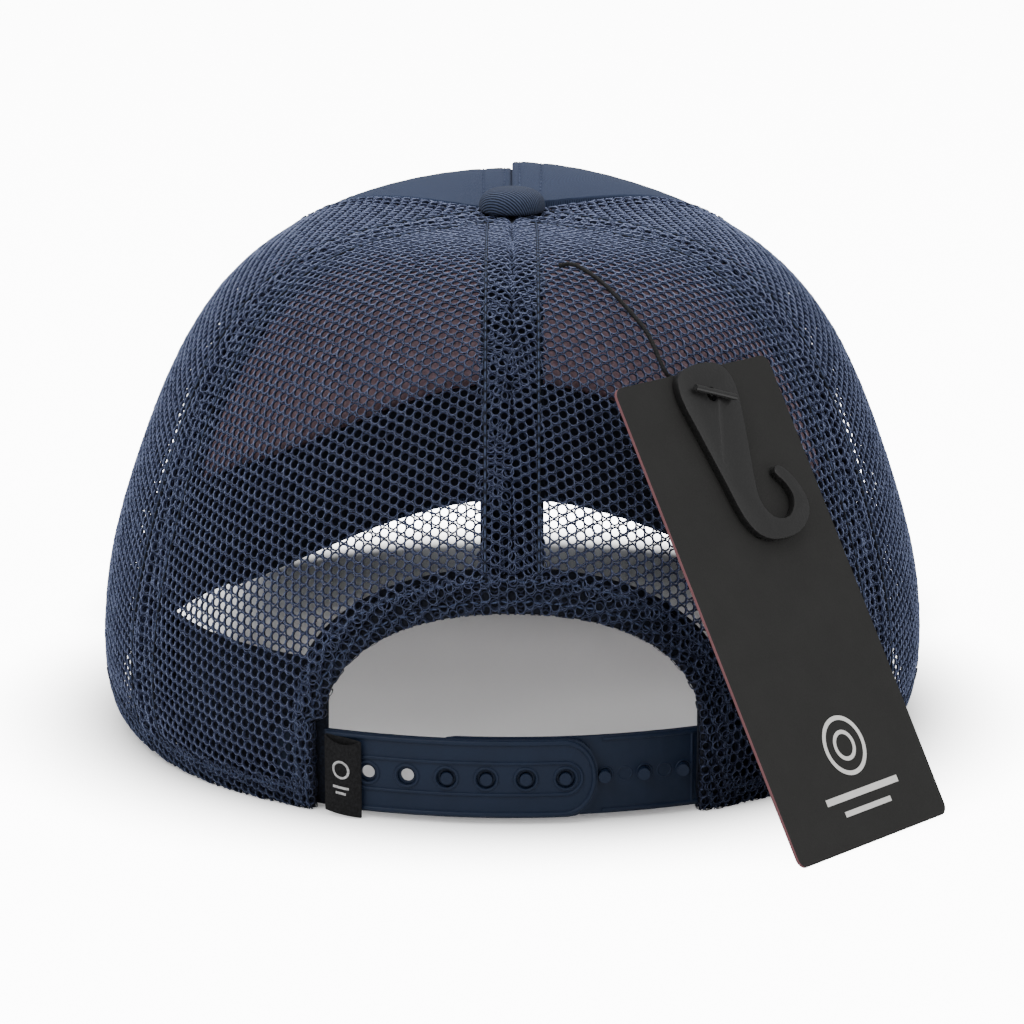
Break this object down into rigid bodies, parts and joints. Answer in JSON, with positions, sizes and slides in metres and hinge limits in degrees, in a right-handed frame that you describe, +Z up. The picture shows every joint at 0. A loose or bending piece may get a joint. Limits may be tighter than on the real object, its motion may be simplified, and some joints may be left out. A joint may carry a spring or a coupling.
{
  "type": "trucker mesh cap",
  "caption": "Navy trucker cap with solid front panels, mesh sides and back, curved brim, snap straps across the rear arch, woven label and hang tag.",
  "frame": {"origin": "middle of the box around the cap, at the floor it stands on", "axes": "+Y out of the front of the cap along the brim, +X to the right seen from behind the cap, +Z up through the button"},
  "size_m": [0.1924, 0.2898, 0.1239],
  "materials": {
    "navy_mesh": "knitted polyester mesh, matt",
    "folded_mesh": "folded mesh, stitched",
    "navy_twill": "cotton twill, matt",
    "mauve_backing": "laminated foam backing, matt",
    "seam_tape": "cotton tape, matt",
    "sweatband_cloth": "cotton twill band, matt",
    "button_twill": "covered button, matt",
    "bare_steel": "plain",
    "brim_board": "stiffening board",
    "navy_plastic": "moulded, satin",
    "woven_black": "woven label, matt",
    "charcoal_card": "coated card with a pink-red edge",
    "black_plastic": "moulded, satin",
    "black_cord": "twisted cord"
  },
  "bodies": {
    "cap": {"front_panel_left": "navy_twill", "front_panel_right": "navy_twill", "front_backing_left": "mauve_backing", "front_backing_right": "mauve_backing", "mesh_side_left": "navy_mesh", "mesh_side_right": "navy_mesh", "mesh_back_left": "navy_mesh", "mesh_back_right": "navy_mesh", "hem_left": "folded_mesh", "hem_right": "folded_mesh", "arch_binding": "folded_mesh", "seam_tape_front": "seam_tape", "seam_tape_side_left": "seam_tape", "seam_tape_side_right": "seam_tape", "seam_tape_rear_left": "seam_tape", "seam_tape_rear_right": "seam_tape", "seam_tape_back": "seam_tape", "sweatband": "sweatband_cloth", "crown_button": "button_twill", "button_washer": "bare_steel", "button_stud": "bare_steel", "brim_top_fabric": "navy_twill", "brim_board": "brim_board", "brim_under_fabric": "navy_twill", "strap_tab_left": "navy_plastic", "strap_tab_right": "navy_plastic"},
    "strap_with_holes": {"snap_strap_holes": "navy_plastic"},
    "strap_with_pegs": {"snap_strap_pegs": "navy_plastic"},
    "label_flap": {"woven_label": "woven_black"},
    "tag": {"hang_tag": "charcoal_card", "tag_string": "black_cord", "string_toggle": "black_cord"},
    "hook": {"tag_hook": "black_plastic"}
  },
  "joints": [
    {"name": "strap_holes_hinge", "type": "hinge", "parent": "cap", "child": "strap_with_holes", "pos_m": [-0.041, -0.10556, 0.0104], "axis": [0, 0, -1], "range_deg": [0, 45]},
    {"name": "strap_pegs_hinge", "type": "hinge", "parent": "cap", "child": "strap_with_pegs", "pos_m": [0.041, -0.10396, 0.0104], "axis": [0, 0, -1], "range_deg": [0, 40]},
    {"name": "label_hinge", "type": "hinge", "parent": "strap_with_holes", "child": "label_flap", "pos_m": [-0.04054, -0.10672, 0.00985], "axis": [0, 0, -1], "range_deg": [0, 50]},
    {"name": "tag_swing", "type": "hinge", "parent": "cap", "child": "tag", "pos_m": [0.0105, -0.07146, 0.1156], "axis": [-0.6691, -0.7431, 0], "range_deg": [0, 60]},
    {"name": "hook_turn", "type": "hinge", "parent": "tag", "child": "hook", "pos_m": [0.043, -0.09311, 0.09089], "axis": [0.6506, -0.5858, 0.4833], "range_deg": [-30, 20]}
  ]
}
